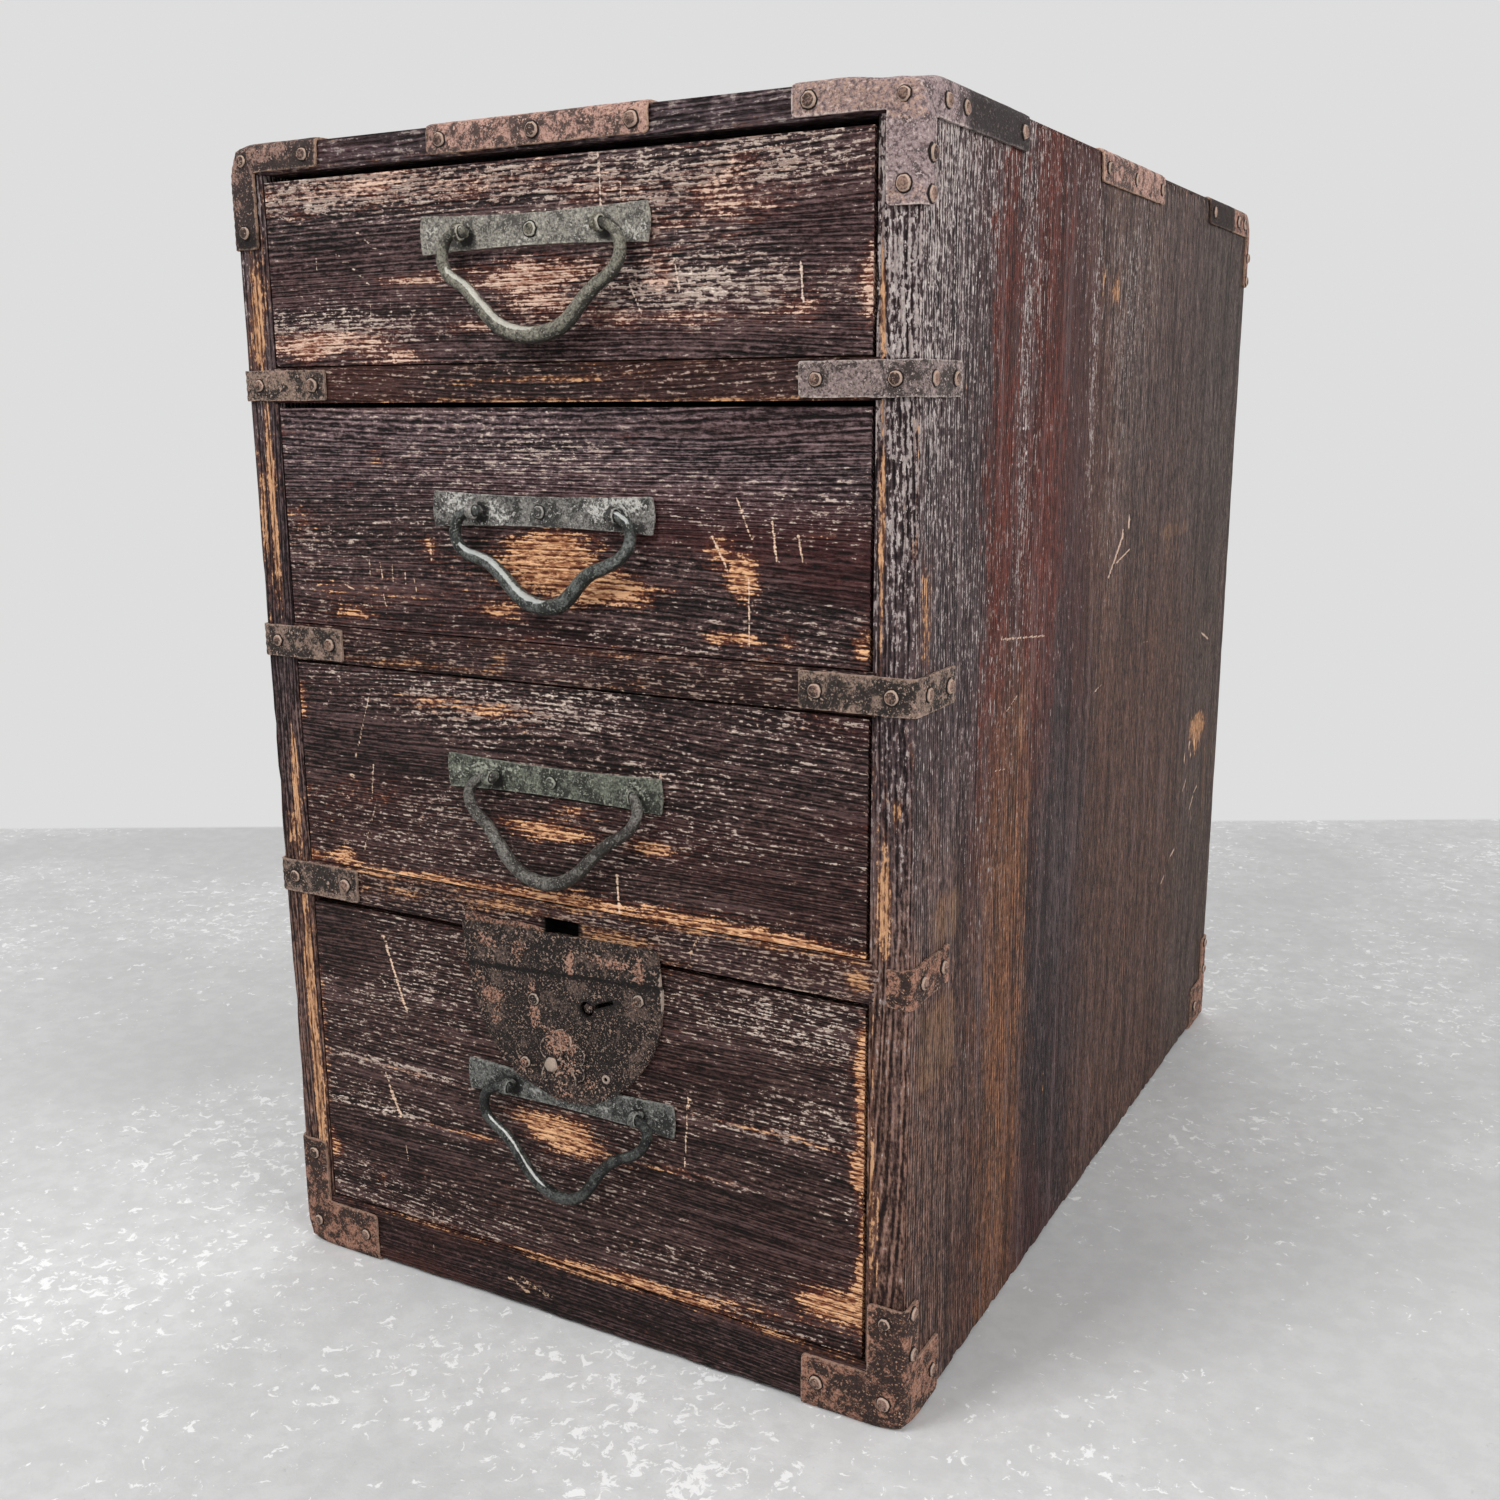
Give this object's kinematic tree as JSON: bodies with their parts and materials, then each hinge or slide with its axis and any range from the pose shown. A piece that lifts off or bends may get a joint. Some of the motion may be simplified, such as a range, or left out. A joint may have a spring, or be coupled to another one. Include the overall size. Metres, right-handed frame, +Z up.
{
  "type": "ship chest with drawers",
  "caption": "Narrow, deep wooden ship's chest bound with wrought-iron corners and straps; stacked drawers with swinging bail handles and a bolt lock in the lowest.",
  "frame": {"origin": "on the ground under the centre of the whole chest's bounding box, hanging handles included", "axes": "+X to the right seen from the front, -Y out of the front where the drawers open, +Z up"},
  "size_m": [0.3284, 0.5204, 0.52],
  "materials": {
    "case_wood": "worn dark lacquer over raised grain",
    "drawer_wood": "worn purplish-brown lacquer, bare at the edges",
    "inner_wood": "bare, aged",
    "peg_wood": "bare, aged",
    "rusted_iron": "wrought, rust brown with dark patches",
    "handle_iron": "wrought, grey-green patina",
    "lock_iron": "wrought, dark and pitted with rust",
    "bolt_iron": "dark"
  },
  "bodies": {
    "carcass": {"side_left": "case_wood", "side_right": "case_wood", "top_panel": "case_wood", "bottom_panel": "inner_wood", "back_boards": "inner_wood", "back_pegs": "peg_wood", "rail_1": "case_wood", "rail_2": "case_wood", "rail_3": "case_wood", "base_rail": "case_wood", "shelf_1": "inner_wood", "shelf_2": "inner_wood", "shelf_3": "inner_wood", "iron_top_front_left": "rusted_iron", "iron_top_front_right": "rusted_iron", "iron_bottom_front_left": "rusted_iron", "iron_bottom_front_right": "rusted_iron", "irons_top_back": "rusted_iron", "irons_bottom_back": "rusted_iron", "strap_top_front": "rusted_iron", "straps_top_sides": "rusted_iron", "rail_straps": "rusted_iron", "iron_nails": "rusted_iron", "strike_plate": "rusted_iron"},
    "drawer_1": {"drawer_1_front": "drawer_wood", "drawer_1_side_left": "inner_wood", "drawer_1_side_right": "inner_wood", "drawer_1_back": "inner_wood", "drawer_1_bottom": "inner_wood", "drawer_1_handle_plate": "handle_iron", "drawer_1_handle_eyes": "handle_iron"},
    "bail_1": {"drawer_1_bail": "handle_iron"},
    "drawer_2": {"drawer_2_front": "drawer_wood", "drawer_2_side_left": "inner_wood", "drawer_2_side_right": "inner_wood", "drawer_2_back": "inner_wood", "drawer_2_bottom": "inner_wood", "drawer_2_handle_plate": "handle_iron", "drawer_2_handle_eyes": "handle_iron"},
    "bail_2": {"drawer_2_bail": "handle_iron"},
    "drawer_3": {"drawer_3_front": "drawer_wood", "drawer_3_side_left": "inner_wood", "drawer_3_side_right": "inner_wood", "drawer_3_back": "inner_wood", "drawer_3_bottom": "inner_wood", "drawer_3_handle_plate": "handle_iron", "drawer_3_handle_eyes": "handle_iron"},
    "bail_3": {"drawer_3_bail": "handle_iron"},
    "drawer_4": {"drawer_4_front": "drawer_wood", "drawer_4_side_left": "inner_wood", "drawer_4_side_right": "inner_wood", "drawer_4_back": "inner_wood", "drawer_4_bottom": "inner_wood", "drawer_4_handle_plate": "handle_iron", "drawer_4_handle_eyes": "handle_iron", "lock_plate": "lock_iron", "lock_case": "bolt_iron", "lock_fittings": "lock_iron"},
    "bail_4": {"drawer_4_bail": "handle_iron"},
    "lock_bolt": {"lock_bolt": "bolt_iron"}
  },
  "joints": [
    {"name": "drawer_1_slide", "type": "slide", "parent": "carcass", "child": "drawer_1", "axis": [0, -1, 0], "range_m": [0, 0.35]},
    {"name": "bail_1_hinge", "type": "hinge", "parent": "drawer_1", "child": "bail_1", "pos_m": [0, -0.256, 0.4775], "axis": [-1, 0, 0], "range_deg": [-3, 170]},
    {"name": "drawer_2_slide", "type": "slide", "parent": "carcass", "child": "drawer_2", "axis": [0, -1, 0], "range_m": [0, 0.35]},
    {"name": "bail_2_hinge", "type": "hinge", "parent": "drawer_2", "child": "bail_2", "pos_m": [0, -0.256, 0.3682], "axis": [-1, 0, 0], "range_deg": [-3, 170]},
    {"name": "drawer_3_slide", "type": "slide", "parent": "carcass", "child": "drawer_3", "axis": [0, -1, 0], "range_m": [0, 0.35]},
    {"name": "bail_3_hinge", "type": "hinge", "parent": "drawer_3", "child": "bail_3", "pos_m": [0, -0.256, 0.2555], "axis": [-1, 0, 0], "range_deg": [-3, 170]},
    {"name": "drawer_4_slide", "type": "slide", "parent": "carcass", "child": "drawer_4", "axis": [0, -1, 0], "range_m": [0, 0.35]},
    {"name": "bail_4_hinge", "type": "hinge", "parent": "drawer_4", "child": "bail_4", "pos_m": [0, -0.256, 0.1137], "axis": [-1, 0, 0], "range_deg": [-3, 170]},
    {"name": "lock_bolt_slide", "type": "slide", "parent": "drawer_4", "child": "lock_bolt", "axis": [0, 0, 1], "range_m": [0, 0.01]}
  ]
}
